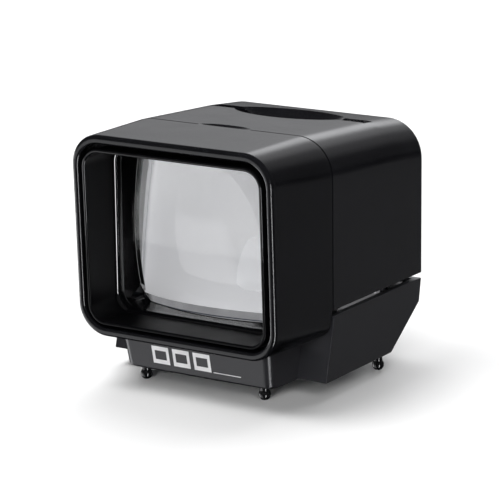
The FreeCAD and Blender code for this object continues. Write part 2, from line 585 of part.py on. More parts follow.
def base_shell():
    outer = slab("base_outer", "base_half", [
        ("base_front_low", "base_low"), ("flat_end", "base_low"), ("slant_end", "slant_high"),
        ("base_rear", "base_high"), ("base_front_high", "base_high")])
    slant = "(slant_high - base_low) / (slant_end - flat_end)"
    bend = "base_low + base_wall"
    inner = slab("base_inner", "base_half - base_wall + 0.1", [
        (lean(bend, "-base_wall - 0.1"), bend), ("flat_end - 0.3", bend),
        ("slant_end - 1.6", f"base_low + 2.3 + (slant_end - 1.6 - flat_end) * {slant}"),
        ("base_rear - base_wall", "base_high + 1"),
        (lean("base_high + 1", "-base_wall - 0.1"), "base_high + 1")])
    dip = box("base_dip", "-front_dip_half", "front_dip_half", "base_front_low",
              "base_front_high + base_wall + 1", "front_dip", "base_high + 1")
    tongue = tongue_block()
    tongue_hollow = box("tongue_hollow", "-tongue_half_low + 2", "tongue_half_low - 2",
                        "tongue_front_low + 2", "base_front_low + 4.5", bend, "tongue_high - 1.8")
    ribs = mirrored("battery_rib", "rib_inner", "rib_outer", "rib_front", "rib_back",
                    f"{bend} - 0.5", "deck_low")
    posts = [cylinder("deck_post_" + side, sign + "deck_screw_x", "deck_screw_depth",
                      "deck_post_low", "deck_post_radius", "deck_low - deck_post_low")
             for side, sign in SIDES]
    pilots = [cylinder("deck_pilot_" + side, sign + "deck_screw_x", "deck_screw_depth",
                       "deck_screw_low", "deck_screw_radius", "9") for side, sign in SIDES]
    door_hole = box("door_hole", "-door_half - door_fit", "door_half + door_fit",
                    "door_front - door_fit", "door_end + 2", "base_low - 1",
                    "base_low + door_thick + door_fit")
    bay_hole = box("bay_hole", "-door_half - door_fit", "door_half + door_fit",
                   "door_front - door_fit", "flat_end", "base_low", f"{bend} + 0.2")
    grooves = mirrored("door_groove", "door_half", "door_half + door_rail + door_fit",
                       "door_front + 1", "door_end + 2", "base_low + door_lip",
                       "base_low + door_thick + door_fit")
    pegs = [cylinder("peg_hole_" + name, x, d, "base_low - 1.5", "foot_peg",
                     "foot_peg_high - base_low + 1.6") for name, x, d, neck in FEET]
    solid = fuse("base_solid", [cut("base_tub", fuse("base_block", [outer, tongue]),
                                    [inner, tongue_hollow, dip])] + ribs + posts)
    keep("base_shell", cut("base_shell", solid, [door_hole, bay_hole] + grooves + pilots + pegs))


def tongue_block():
    """The narrow front of the base: its face and its sides lean in towards the floor."""
    owner = doc.addObject("PartDesign::Body", "tongue")
    sketches = []
    for level, height, inset in (("low", "tongue_low", "tongue_bevel"),
                                 ("edge", "tongue_low + tongue_bevel", "0"),
                                 ("high", "tongue_high", "0")):
        share = f"(({height}) - tongue_low) / (tongue_high - tongue_low)"
        front = f"tongue_front_low + (tongue_front_high - tongue_front_low) * {share} + {inset}"
        half = f"tongue_half_low + (tongue_half_high - tongue_half_low) * {share} - {inset}"
        root = f"tongue_root_half - {inset}"
        sketch = sketch_on(owner, "tongue_" + level + "_outline", "XY_Plane", height)
        draw_outline(sketch, [(f"-({half})", depth(front), "tongue_round"),
                              (half, depth(front), "tongue_round"),
                              (root, depth(lean(height))), (root, depth("base_front_high + 2")),
                              (f"-({root})", depth("base_front_high + 2")),
                              (f"-({root})", depth(lean(height)))])
        sketches.append(sketch)
    feature = owner.newObject("PartDesign::AdditiveLoft", "tongue_loft")
    feature.Profile = sketches[0]
    feature.Sections = sketches[1:]
    feature.Ruled = True
    doc.recompute()
    slope = slab("tongue_slope", "base_half", [
        ("tongue_front_low", "tongue_low"), ("tongue_front_low", "tongue_low - 1"),
        ("base_front_high + 3", "tongue_low - 1"), ("base_front_high + 3", "base_low"),
        ("base_front_low", "base_low")])
    return cut("tongue_cut", owner, [slope])


FEET = [("front_left", "-foot_front_x", "foot_front_depth", "foot_neck_front"),
        ("front_right", "foot_front_x", "foot_front_depth", "foot_neck_front"),
        ("rear_left", "-foot_rear_x", "foot_rear_depth", "base_low"),
        ("rear_right", "foot_rear_x", "foot_rear_depth", "base_low")]


def feet():
    for place_name, x, d, neck in FEET:
        name = "foot_" + place_name
        tip = common(name + "_tip", [
            ball(name + "_ball", x, d, "foot_centre", "foot_radius"),
            box(name + "_stand", f"{x} - 3", f"{x} + 3", f"{d} - 3", f"{d} + 3", "0", "4")])
        stem = cylinder(name + "_stem", x, d, "foot_centre", "foot_neck", f"{neck} - foot_centre")
        peg = cylinder(name + "_peg", x, d, f"{neck} - 0.2", "foot_peg",
                       f"foot_peg_high - {neck} + 0.2")
        keep(name, fuse(name, [tip, stem, peg]))


def base_deck():
    sheet_metal = box("deck_plate", "-deck_half", "deck_half", "deck_front", "deck_rear",
                      "deck_low", "deck_high")
    lip = box("deck_lip", "-deck_lip_half", "deck_lip_half", "deck_front", "deck_front + 0.8",
              "deck_lip_low", "deck_low + 0.1")
    cups = [cylinder("deck_cup_" + name, x, d, "cup_low", "cup_radius", "deck_high - cup_low")
            for name, x, d in GUIDES]
    bores = [cylinder("deck_bore_" + name, x, d, "cup_floor", "cup_bore", "9")
             for name, x, d in GUIDES]
    bores += [cylinder("deck_guide_" + name, x, d, "cup_low - 1", "shank_radius + shank_play", "9")
              for name, x, d in GUIDES]
    bores += [cylinder("deck_hole_" + side, sign + "deck_screw_x", "deck_screw_depth",
                       "deck_low - 1", "deck_screw_radius + 0.1", "4") for side, sign in SIDES]
    well = box("deck_well", "-channel_outer - 0.3", "channel_outer + 0.3", "gate_front",
               "diffuser_back + 0.4", "deck_low - 1", "deck_high + 1")
    trench = box("deck_trench", "-gate_half - 0.3", "gate_half + 0.3", "gate_front - 0.3",
                 "channel_front + 0.3", "deck_low - 1", "deck_high + 1")
    notches = mirrored("deck_pin_notch", "pin_x - pin_half - pin_room",
                       "pin_x + pin_half + pin_room", "box_back - pin_thick - pin_room",
                       "deck_rear + 1", "deck_low - 1", "deck_high + 1")
    keep("base_deck", cut("base_deck", fuse("deck_solid", [sheet_metal, lip] + cups),
                          bores + notches + [well, trench]))


def battery_door():
    panel = slab("door_panel", "door_half", [
        ("door_front", "base_low"), ("flat_end", "base_low"),
        ("flat_end + door_thick * (slant_end - flat_end) / (slant_high - base_low)",
         "base_low + door_thick"), ("door_front", "base_low + door_thick")])
    rails = mirrored("door_rail", "door_half - 0.5", "door_half + door_rail", "door_front + 1.2",
                     "flat_end - 1", "base_low + door_lip + 0.1", "base_low + door_thick")
    grips = [box(f"door_grip_{i}", "-grip_half", "grip_half", f"door_front + 3 + {i} * grip_pitch",
                 f"door_front + 3 + grip_width + {i} * grip_pitch", "base_low - 1",
                 "base_low + grip_deep") for i in range(5)]
    keep("battery_door", cut("battery_door", fuse("door_solid", [panel] + rails), grips))


# ---- batteries, contacts and springs ----------------------------------------------------------

def batteries():
    for end, start, nub in (("front", "-cell_end", "cell_length - cell_end"),
                            ("rear", "cell_end - cell_length",
                             "cell_end - cell_length - nub_length")):
        name, d = "battery_" + end, f"cell_{end}_depth"
        can = cylinder(name + "_can", start, d, "cell_height", "cell_radius", "cell_length",
                       ALONG_X)
        tip = cylinder(name + "_nub", nub, d, "cell_height", "nub_radius", "nub_length", ALONG_X)
        keep(name, fuse(name, [can, tip]))


def battery_contacts():
    """One bridge joins the cells on the left; two plates take the current on the right."""
    button = "cell_length - cell_end + nub_length"
    front, rear = "cell_front_depth", "cell_rear_depth"
    for name, sign, first, last, post in (("contact_bridge", "-", front, rear, rear),
                                          ("contact_plus", "", front, front, front),
                                          ("contact_minus", "", rear, rear, None)):
        inner, outer = "rib_inner - plate_thick", "rib_inner"
        span = (inner, outer) if not sign else (f"-({outer})", f"-({inner})")
        parts = [box(name + "_plate", *span, first + " - 4", last + " + 4", "cell_height - 5",
                     "cell_height + 5")]
        if post:
            start = button if not sign else f"-({inner})"
            parts.append(cylinder(name + "_button", start, post, "cell_height", "2",
                                  f"{inner} - ({button})", ALONG_X))
        keep(name, fuse(name, parts) if post else parts[0])
    room = "rib_inner - plate_thick - cell_end - 2 * coil_wire"
    for side, x, d in (("left", "-(rib_inner - plate_thick) + coil_wire", "cell_front_depth"),
                       ("right", "cell_end + coil_wire", "cell_rear_depth")):
        name = "battery_spring_" + side
        spring = coil(name, "coil_wire", "coil_mean", f"({room}) / coil_turns", room)
        keep(name, place(group(name, [spring]), x, d, "cell_height", ALONG_X))


def press_springs():
    for name, x, d in GUIDES:
        label = "press_spring_" + name
        spring = coil(label, "press_wire", "press_coil", "press_turn",
                      "chassis_low - cup_floor - 2 * press_wire")
        keep(label, place(group(label, [spring]), x, d, "cup_floor + press_wire"))


# ---- screws -------------------------------------------------------------------------------------

def screws():
    guides, covers, decks = [], [], []
    for name, x, d in GUIDES:
        head = cylinder("guide_head_" + name, x, d, "head_low", "head_radius",
                        "head_high - head_low")
        shank = cylinder("guide_shank_" + name, x, d, "head_high - 0.4", "shank_radius",
                         "shank_top - head_high + 0.4")
        guides.append(fuse("guide_screw_" + name, [head, shank]))
    for name, x, d in COVER_SCREWS:
        head = cone("cover_head_" + name, x, d, "chassis_low", "cover_head_radius",
                    "cover_screw_radius", "0.9")
        shank = cylinder("cover_shank_" + name, x, d, "chassis_low + 0.3", "cover_screw_radius",
                         "cover_screw_top - chassis_low - 0.3")
        covers.append(fuse("cover_screw_" + name, [head, shank]))
    for side, sign in SIDES:
        head = cylinder("deck_head_" + side, sign + "deck_screw_x", "deck_screw_depth",
                        "deck_high", "deck_head_radius", "1")
        shank = cylinder("deck_shank_" + side, sign + "deck_screw_x", "deck_screw_depth",
                         "deck_screw_low", "deck_screw_radius", "deck_high - deck_screw_low + 0.3")
        decks.append(fuse("deck_screw_" + side, [head, shank]))
    keep("guide_screws", group("guide_screws", guides))
    keep("cover_screws", group("cover_screws", covers))
    keep("deck_screws", group("deck_screws", decks))


for make in (front_hood, viewing_tunnel, lens_bezel, magnifier_lens, lens_barrel, lens_retainer,
             rear_cover, chassis, slide_gate, light_panel, leds, lamp_contacts, base_shell, feet,
             base_deck, battery_door, batteries, battery_contacts, press_springs, screws):
    make()
doc.recompute()

faulty = [thing.Name for thing in doc.Objects
          if "Invalid" in thing.State or "Error" in thing.State]
faulty += [thing.Label for thing in NODES
           if thing.Shape.isNull() or not thing.Shape.isValid() or not thing.Shape.Solids]
if faulty:
    raise RuntimeError("these did not build: " + ", ".join(faulty))

os.makedirs("parts", exist_ok=True)
for thing in NODES:
    thing.Shape.exportStep(f"parts/{thing.Label}.step")
    print(f"{thing.Label:24s} {len(thing.Shape.Solids):2d} solid(s) {thing.Shape.Volume:10.1f} mm3")
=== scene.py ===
import json
import math

import bmesh
import bpy
from mathutils import Matrix, Vector


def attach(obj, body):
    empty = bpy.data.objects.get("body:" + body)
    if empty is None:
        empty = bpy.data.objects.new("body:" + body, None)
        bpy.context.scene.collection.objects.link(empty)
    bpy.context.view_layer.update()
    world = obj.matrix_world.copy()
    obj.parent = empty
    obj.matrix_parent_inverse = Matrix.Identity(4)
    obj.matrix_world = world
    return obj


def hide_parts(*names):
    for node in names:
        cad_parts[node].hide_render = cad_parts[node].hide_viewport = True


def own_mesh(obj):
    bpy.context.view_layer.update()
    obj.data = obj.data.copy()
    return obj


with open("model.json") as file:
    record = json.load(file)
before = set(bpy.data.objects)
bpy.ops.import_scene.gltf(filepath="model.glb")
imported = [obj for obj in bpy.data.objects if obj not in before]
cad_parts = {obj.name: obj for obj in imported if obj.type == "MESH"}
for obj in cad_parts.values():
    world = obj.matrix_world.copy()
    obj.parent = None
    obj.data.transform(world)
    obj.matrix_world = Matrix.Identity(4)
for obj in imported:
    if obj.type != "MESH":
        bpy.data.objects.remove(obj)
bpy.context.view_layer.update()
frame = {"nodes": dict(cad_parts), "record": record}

# Slide viewer: the shells, the lens and the mark are made here as finer meshes on the CAD's own
# sizes, and the press springs are copies of the CAD springs; every other part keeps its
# CAD mesh and gets a material. Sizes are in millimetres, with depth counted from the front rim
# towards the rear; spot() turns them into the frame's metres.

NODES = frame["nodes"]
MM = 0.001
MID_DEPTH = 38.075
RIM_HIGH = 72.5
RIM_TILT = 2.0
CORNER_STEPS = 14
SIDE_STEPS = 10


# ---- mesh helpers ---------------------------------------------------------------------------

def spot(x, d, z):
    return Vector((x * MM, (d - MID_DEPTH) * MM, z * MM))


def rounded(half, low, high, low_round, high_round):
    """Outline of a rectangle about x = 0 with round corners, as (x, z) pairs."""
    corners = [(half - low_round, low + low_round, low_round, -90),
               (half - high_round, high - high_round, high_round, 0),
               (high_round - half, high - high_round, high_round, 90),
               (low_round - half, low + low_round, low_round, 180)]
    outline = []
    for index, (x, z, radius, start) in enumerate(corners):
        for step in range(CORNER_STEPS + 1):
            turn = math.radians(start + 90 * step / CORNER_STEPS)
            outline.append((x + radius * math.cos(turn), z + radius * math.sin(turn)))
        nx, nz, next_radius, next_start = corners[(index + 1) % 4]
        turn = math.radians(next_start)
        end = (nx + next_radius * math.cos(turn), nz + next_radius * math.sin(turn))
        begin = outline[-1]
        for step in range(1, SIDE_STEPS):
            share = step / SIDE_STEPS
            outline.append(tuple(b + (e - b) * share for b, e in zip(begin, end)))
    return outline


def grown(outline_sizes, by):
    """The same rounded rectangle, larger all round by a distance."""
    half, low, high, low_round, high_round = outline_sizes
    return (half + by, low - by, high + by, low_round + by, high_round + by)


def ring(d, sizes, tilt=0.0):
    """An outline set at a depth; a tilted one leans back towards its foot."""
    lean = math.radians(tilt)
    return [spot(x, d + (RIM_HIGH - z) * math.sin(lean), z * math.cos(lean))
            for x, z in rounded(*sizes)]


def between(first, last, count):
    """Rings that lead straight from one ring to another, both left out."""
    return [[a.lerp(b, step / (count + 1)) for a, b in zip(first, last)]
            for step in range(1, count + 1)]


def quarter(d, sizes, radius, direction, tilt=0.0, inward=1, steps=5):
    """Rings round an edge: from the wall, at radius from the end d, to the end face."""
    rings = []
    for step in range(steps + 1):
        turn = math.radians(90 * step / steps)
        inset = radius * (1 - math.cos(turn))
        rings.append(ring(d + direction * radius * (1 - math.sin(turn)),
                          grown(sizes, -inward * inset), tilt))
    return rings


def new_object(name, mesh):
    made = bpy.data.objects.new(name, mesh)
    bpy.context.scene.collection.objects.link(made)
    return made


def mesh_from(name, points, faces):
    mesh = bpy.data.meshes.new(name)
    mesh.from_pydata([tuple(p) for p in points], [], faces)
    work = bmesh.new()
    work.from_mesh(mesh)
    bmesh.ops.remove_doubles(work, verts=work.verts, dist=1e-7)
    bmesh.ops.recalc_face_normals(work, faces=work.faces)
    work.to_mesh(mesh)
    work.free()
    return new_object(name, mesh)


def skin(name, rings, wrap=False):
    """A closed surface through rings of equal count: a loop of rings, or capped at both ends."""
    count = len(rings[0])
    faces = []
    for i in range(len(rings) if wrap else len(rings) - 1):
        j = (i + 1) % len(rings)
        for k in range(count):
            m = (k + 1) % count
            faces.append((i * count + k, i * count + m, j * count + m, j * count + k))
    if not wrap:
        faces.append(tuple(range(count)))
        faces.append(tuple(range((len(rings) - 1) * count, len(rings) * count)))
    return mesh_from(name, [p for one in rings for p in one], faces)


def block(name, x0, x1, d0, d1, z0, z1):
    points = [spot(x, d, z) for x in (x0, x1) for d in (d0, d1) for z in (z0, z1)]
    faces = [(0, 1, 3, 2), (4, 6, 7, 5), (0, 4, 5, 1), (2, 3, 7, 6), (0, 2, 6, 4), (1, 5, 7, 3)]
    return mesh_from(name, points, faces)


def prism(name, half, corners):
    """A side outline of (depth, height) pairs, as wide as half to each side."""
    count = len(corners)
    points = [spot(x, d, z) for x in (-half, half) for d, z in corners]
    faces = [tuple(range(count)), tuple(range(count, 2 * count))]
    faces += [(k, (k + 1) % count, count + (k + 1) % count, count + k) for k in range(count)]
    return mesh_from(name, points, faces)


def settle(piece):
    """Apply a piece's modifiers."""
    graph = bpy.context.evaluated_depsgraph_get()
    mesh = bpy.data.meshes.new_from_object(piece.evaluated_get(graph))
    piece.modifiers.clear()
    piece.data = mesh
    return piece


def join(piece, other, operation):
    modifier = piece.modifiers.new("join", "BOOLEAN")
    modifier.object = other
    modifier.operation = operation
    modifier.solver = "EXACT"
    settle(piece)
    bpy.data.objects.remove(other)
    return piece


def bevel(piece, width, steps=3, angle=30):
    modifier = piece.modifiers.new("bevel", "BEVEL")
    modifier.width = width * MM
    modifier.segments = steps
    modifier.limit_method = "ANGLE"
    modifier.angle_limit = math.radians(angle)
    return settle(piece)


def smooth(piece, angle=30):
    """Smooth shading that stays flat on large faces and breaks at sharp edges."""
    for face in piece.data.polygons:
        face.use_smooth = True
    piece.data.set_sharp_from_angle(angle=math.radians(angle))
    modifier = piece.modifiers.new("normals", "WEIGHTED_NORMAL")
    modifier.keep_sharp = True
    modifier.weight = 90
    return settle(piece)


def finish_piece(piece, body, material, replaces=()):
    piece.data.materials.clear()
    piece.data.materials.append(material)
    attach(piece, body)
    if replaces:
        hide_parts(*replaces)
    return piece


# ---- node helpers ---------------------------------------------------------------------------

def add(tree, kind, inputs=None, **settings):
    node = tree.nodes.new(kind)
    for name, value in settings.items():
        setattr(node, name, value)
    for name, value in (inputs or {}).items():
        if isinstance(value, bpy.types.NodeSocket):
            tree.links.new(value, node.inputs[name])
        else:
            node.inputs[name].default_value = value
    return node


def noise(tree, scale, detail=3.0, stretch=None):
    where = add(tree, "ShaderNodeTexCoord").outputs["Object"]
    if stretch:
        where = add(tree, "ShaderNodeMapping", {"Vector": where, "Scale": stretch}).outputs["Vector"]
    return add(tree, "ShaderNodeTexNoise", {"Vector": where, "Scale": scale, "Detail": detail})


def ramp(tree, factor, low, high, start=0.35, end=0.65):
    node = add(tree, "ShaderNodeValToRGB", {"Fac": factor})
    node.color_ramp.elements[0].position = start
    node.color_ramp.elements[0].color = (*low, 1)
    node.color_ramp.elements[1].position = end
    node.color_ramp.elements[1].color = (*high, 1)
    return node.outputs["Color"]


def spread(tree, factor, low, high):
    return add(tree, "ShaderNodeMapRange", {"Value": factor, "From Min": 0.3, "From Max": 0.7,
                                            "To Min": low, "To Max": high}).outputs["Result"]


def surface(name, low, high, rough, patch=70, grain=2500, depth=0.004, stretch=None, **fixed):
    """A principled material: colour and gloss wander with a broad noise, relief with a fine one."""
    material = bpy.data.materials.new(name)
    material.use_nodes = True
    tree = material.node_tree
    shader = tree.nodes["Principled BSDF"]
    broad = noise(tree, patch, 4.0).outputs["Fac"]
    fine = noise(tree, grain, 2.0, stretch).outputs["Fac"]
    bump = add(tree, "ShaderNodeBump", {"Height": fine, "Strength": 1.0, "Distance": depth * MM})
    tree.links.new(ramp(tree, broad, low, high), shader.inputs["Base Color"])
    tree.links.new(spread(tree, broad, *rough), shader.inputs["Roughness"])
    tree.links.new(bump.outputs["Normal"], shader.inputs["Normal"])
    for key, value in fixed.items():
        shader.inputs[key.replace("_", " ")].default_value = value
    return material


def glowing(name, colour, low, high, patch, rough, edge=30.9, beyond=0.3, fade=0.5):
    """Glowing white plastic: the lamp dome's own light, and on the other pieces a painted glow
    that stands in for the lamps' light passing through them, a little uneven and, as painted
    shade, less to the sides.

    Where none gets beyond the edge, the base colour is painted black there as well: painted shade."""
    material = surface(name, [c * 0.96 for c in colour], colour, (rough, rough + 0.1), patch,
                       depth=0.0008)
    tree = material.node_tree
    shader = tree.nodes["Principled BSDF"]
    # Painted glow: the emission colour, uneven with a broad noise.
    cloud = noise(tree, patch, 1.5).outputs["Fac"]
    lit = ramp(tree, cloud, low, high, 0.3, 0.7)
    # Painted shade: past the edge along X the glow falls to the share given by beyond.
    across = add(tree, "ShaderNodeSeparateXYZ",
                 {"Vector": add(tree, "ShaderNodeTexCoord").outputs["Object"]}).outputs["X"]
    aside = add(tree, "ShaderNodeMath", {0: across}, operation="ABSOLUTE").outputs["Value"]
    near = add(tree, "ShaderNodeMapRange", {"Value": aside, "From Min": edge * MM,
                                            "From Max": (edge + fade) * MM, "To Min": 1.0,
                                            "To Max": beyond}).outputs["Result"]
    lit = add(tree, "ShaderNodeVectorMath", {0: lit, "Scale": near}, operation="SCALE")
    tree.links.new(lit.outputs["Vector"], shader.inputs["Emission Color"])
    shader.inputs["Emission Strength"].default_value = 1.0
    # Painted shade: with beyond at zero the base colour also goes black past the edge.
    if not beyond:
        paint = shader.inputs["Base Color"].links[0].from_socket
        paint = add(tree, "ShaderNodeVectorMath", {0: paint, "Scale": near}, operation="SCALE")
        tree.links.new(paint.outputs["Vector"], shader.inputs["Base Color"])
    return material


def clear_acrylic():
    material = bpy.data.materials.new("clear_acrylic")
    material.use_nodes = True
    tree = material.node_tree
    shader = tree.nodes["Principled BSDF"]
    shader.inputs["Transmission Weight"].default_value = 1.0
    shader.inputs["IOR"].default_value = 1.49
    shader.inputs["Base Color"].default_value = (0.985, 0.99, 0.99, 1)
    shader.inputs["Specular IOR Level"].default_value = 0.05
    haze = noise(tree, 180, 3.0).outputs["Fac"]
    tree.links.new(spread(tree, haze, 0.0, 0.012), shader.inputs["Roughness"])
    return material


HOOD = surface("hood_black", (0.0034, 0.0034, 0.0042), (0.0048, 0.0048, 0.0060), (0.2, 0.25),
               depth=0.003)
COVER = surface("cover_black", (0.0048, 0.0048, 0.0060), (0.0062, 0.0062, 0.0078), (0.2, 0.25),
                depth=0.003)
BASE = surface("base_black", (0.0165, 0.0165, 0.0190), (0.0200, 0.0200, 0.0230), (0.3, 0.36),
               depth=0.003)
INNER = surface("inner_black", (0.0018, 0.0018, 0.0022), (0.0030, 0.0030, 0.0035), (0.08, 0.13),
                grain=1500, depth=0.0012)
BEZEL_BLACK = surface("bezel_black", (0.0015, 0.0015, 0.0018), (0.0025, 0.0025, 0.0030),
                      (0.04, 0.07), grain=1500, depth=0.0008, Specular_IOR_Level=0.9)
BAFFLE = surface("baffle_black", (0.0018, 0.0018, 0.0022), (0.0030, 0.0030, 0.0035), (0.34, 0.42),
                 Specular_IOR_Level=0.15)
FRAME = surface("frame_black", (0.0060, 0.0060, 0.0066), (0.0085, 0.0085, 0.0092), (0.12, 0.2),
                depth=0.002)
# Painted glow on the white plastic parts, falling to 30 % past 30.9 mm to each side: painted shade.
WHITE = glowing("white_plastic", (0.82, 0.83, 0.84), (0.43, 0.43, 0.445), (0.49, 0.49, 0.50), 60, 0.45)
# Painted glow on the base deck; past 24 mm to each side its glow and colour fade to black, a painted
# shade in the side gap.
DECK = glowing("white_deck", (0.70, 0.71, 0.72), (0.20, 0.20, 0.21), (0.26, 0.26, 0.27), 200, 0.2,
               edge=24.0, beyond=0.0, fade=2.5)
# Painted glow on the diffuser, kept faint.
OPAL = glowing("opal_acrylic", (0.60, 0.61, 0.62), (0.04, 0.04, 0.042), (0.06, 0.06, 0.062), 55, 0.3)
BOARD = surface("solder_mask", (0.74, 0.75, 0.74), (0.82, 0.83, 0.81), (0.3, 0.4), 200)
LAMP = glowing("lamp_dome", (0.9, 0.88, 0.78), (0.6, 0.58, 0.5), (0.8, 0.78, 0.7), 300, 0.15)
RUBBER = surface("foot_rubber", (0.006, 0.006, 0.007), (0.010, 0.010, 0.011), (0.1, 0.16), 400)
CELL = surface("cell_jacket", (0.10, 0.12, 0.15), (0.14, 0.16, 0.19), (0.25, 0.35), 90,
               Metallic=0.6)
NICKEL = surface("nickel", (0.62, 0.60, 0.55), (0.72, 0.70, 0.65), (0.18, 0.3), 400, 6000, 0.001,
                 (1, 1, 0.1), Metallic=1.0)
SPRING = surface("spring_steel", (0.45, 0.45, 0.46), (0.58, 0.58, 0.6), (0.25, 0.35), 500,
                 Metallic=1.0)
SCREW = surface("zinc", (0.48, 0.48, 0.5), (0.6, 0.6, 0.62), (0.25, 0.4), 600, Metallic=1.0)
PRINT = surface("white_print", (0.72, 0.72, 0.73), (0.82, 0.82, 0.83), (0.4, 0.5), 300)
ACRYLIC = clear_acrylic()

SLOT_MATERIALS = {
    "hood_plastic": HOOD, "inner_plastic": INNER, "cover_plastic": COVER, "base_plastic": BASE,
    "chassis_plastic": FRAME, "acrylic": ACRYLIC, "white_plastic": WHITE, "opal": OPAL,
    "board": BOARD, "lamp": LAMP, "foot_rubber": RUBBER, "cell_jacket": CELL, "nickel": NICKEL,
    "spring_steel": SPRING, "screw_steel": SCREW,
}


# ---- hood and what it carries -----------------------------------------------------------------

RIM = (32.6, 14.9, 72.5, 9.0, 9.0)
LIP = (30.5, 17.35, 70.0, 6.8, 6.8)
HOOD_REAR = (35.0, 17.4, 72.35, 3.5, 10.8)
HOOD_REAR_INNER = (32.8, 18.5, 70.15, 2.5, 8.6)
HOOD_END = 27.2
TUNNEL = (28.3, 19.2, 67.5, 4.6, 4.6)
TUNNEL_DEPTHS = (0.1, 13.6)
FLANGE = (30.7, 17.8, 69.85, 8.0, 8.0)
FLANGE_DEPTHS = (5.6, 7.2)
BEZEL = (31.4, 18.15, 69.8, 5.0, 8.0)
BEZEL_OPENING = (27.5, 20.05, 66.65, 4.6, 4.6)
BEZEL_DEPTHS = (13.7, 17.3)
BASE_LOW, BASE_HIGH = 5.0, 23.2
LEAN_FOOT, LEAN_TOP = 22.7, 27.3


def lean_depth(z, gap=0.0):
    """Depth of the base's leaning front face at a height."""
    slope = (LEAN_TOP - LEAN_FOOT) / (BASE_HIGH - BASE_LOW)
    return LEAN_TOP - (BASE_HIGH - z) * slope - gap


def front_hood():
    bevelled = quarter(0, RIM, 1.2, 1, RIM_TILT, steps=8)
    lip = quarter(0, LIP, 0.9, 1, RIM_TILT, inward=-1, steps=8)[::-1]
    rear = quarter(HOOD_END, HOOD_REAR, 0.15, -1, steps=2)
    rings = rear[::-1] + between(rear[0], bevelled[0], 8) + bevelled + lip
    back = ring(HOOD_END, HOOD_REAR_INNER)
    rings += between(lip[-1], back, 6) + [back]
    hood = skin("hood_shell", rings, wrap=True)
    clear = prism("clear", 37, [(lean_depth(25.4, 0.7), 25.4), (36, 25.4), (36, 9),
                                (lean_depth(9, 0.7), 9)])
    return smooth(join(hood, clear, "DIFFERENCE"))


def viewing_tunnel():
    front, end = TUNNEL_DEPTHS
    outer_front = quarter(front, grown(TUNNEL, 1.0), 0.5, 1, RIM_TILT, steps=6)
    inner_front = quarter(front, TUNNEL, 0.5, 1, RIM_TILT, inward=-1, steps=6)[::-1]
    inner_back = ring(end, TUNNEL)
    outer_back = ring(end, grown(TUNNEL, 1.0))
    rings = outer_front + inner_front + between(inner_front[-1], inner_back, 4)
    rings += [inner_back, outer_back]
    tunnel = skin("tunnel_shell", rings, wrap=True)
    wall = grown(TUNNEL, 0.5)
    near, far = FLANGE_DEPTHS
    collar = skin("collar", [ring(near, FLANGE), ring(far, FLANGE), ring(far, wall),
                             ring(near, wall)], wrap=True)
    return smooth(join(tunnel, collar, "UNION"), 40)


def lens_bezel():
    near, far = BEZEL_DEPTHS
    front = quarter(near, BEZEL_OPENING, 1.5, 1, inward=-1, steps=10)[::-1]
    back = quarter(far, BEZEL_OPENING, 0.9, -1, inward=-1, steps=6)
    rings = [ring(near, BEZEL)] + front + back + [ring(far, BEZEL)]
    return smooth(skin("bezel_frame", rings, wrap=True))


def magnifier_lens():
    """Two true spherical faces over a square outline with its corners cut by a disc."""
    half, rise, disc, centre = 28.0, 23.6, 34.0, 43.35
    front_radius, back_radius, front, thick = 65.0, 145.0, 15.84, 14.4
    spokes, hoops = 192, 30
    turns = [2 * math.pi * k / spokes for k in range(spokes)]
    for corner in (math.atan2(rise, half), math.acos(half / disc), math.asin(rise / disc)):
        for turn in (corner, math.pi - corner, math.pi + corner, 2 * math.pi - corner):
            nearest = min(range(spokes), key=lambda k: abs(turns[k] - turn))
            turns[nearest] = turn
    reach = [min(disc, half / max(abs(math.cos(t)), 1e-9), rise / max(abs(math.sin(t)), 1e-9))
             for t in turns]
    def face(shape):
        return [[spot(r * h / hoops * math.cos(t), shape(r * h / hoops), centre
                      + r * h / hoops * math.sin(t)) for t, r in zip(turns, reach)]
                for h in range(1, hoops + 1)]
    def front_shape(r):
        return front + front_radius - math.sqrt(front_radius ** 2 - r * r)
    def back_shape(r):
        return front + thick - back_radius + math.sqrt(back_radius ** 2 - r * r)
    rings = face(front_shape) + face(back_shape)[::-1]
    count = len(turns)
    points = [p for one in rings for p in one]
    points += [spot(0, front_shape(0), centre), spot(0, back_shape(0), centre)]
    faces = []
    for i in range(len(rings) - 1):
        for k in range(count):
            m = (k + 1) % count
            faces.append((i * count + k, i * count + m, (i + 1) * count + m, (i + 1) * count + k))
    last = (len(rings) - 1) * count
    for k in range(count):
        m = (k + 1) % count
        faces.append((k, m, len(points) - 2))
        faces.append((last + k, last + m, len(points) - 1))
    return smooth(mesh_from("lens_glass", points, faces))


# ---- rear cover ----------------------------------------------------------------------------------

COVER_LOW = 24.6
COVER_FRONT = (35.0, COVER_LOW, 72.35, 0.3, 10.8)
COVER_REAR = (35.3, COVER_LOW, 69.0, 0.3, 10.8)
COVER_DEPTHS = (27.6, 76.15)
WALL = 2.0
SLOT_TOP = 70.45
SCOOP_DEPTH = 61.9
BREAK = 61.2
CREASE = (35.2, COVER_LOW, SLOT_TOP, 0.3, 10.8)


def spindle(name, d, top, half, reach, deep):
    """A solid of revolution about an X line: a circular arc that dips deep under the top."""
    lift = (reach ** 2 / deep - deep) / 2
    bow = (half ** 2 / deep + deep) / 2
    rings = []
    for step in range(49):
        x = half * (2 * step / 48 - 1)
        radius = lift + deep - bow + math.sqrt(bow ** 2 - x ** 2)
        rings.append([spot(x, d + radius * math.cos(2 * math.pi * k / 128),
                           top + lift + radius * math.sin(2 * math.pi * k / 128))
                      for k in range(128)])
    return skin(name, rings)


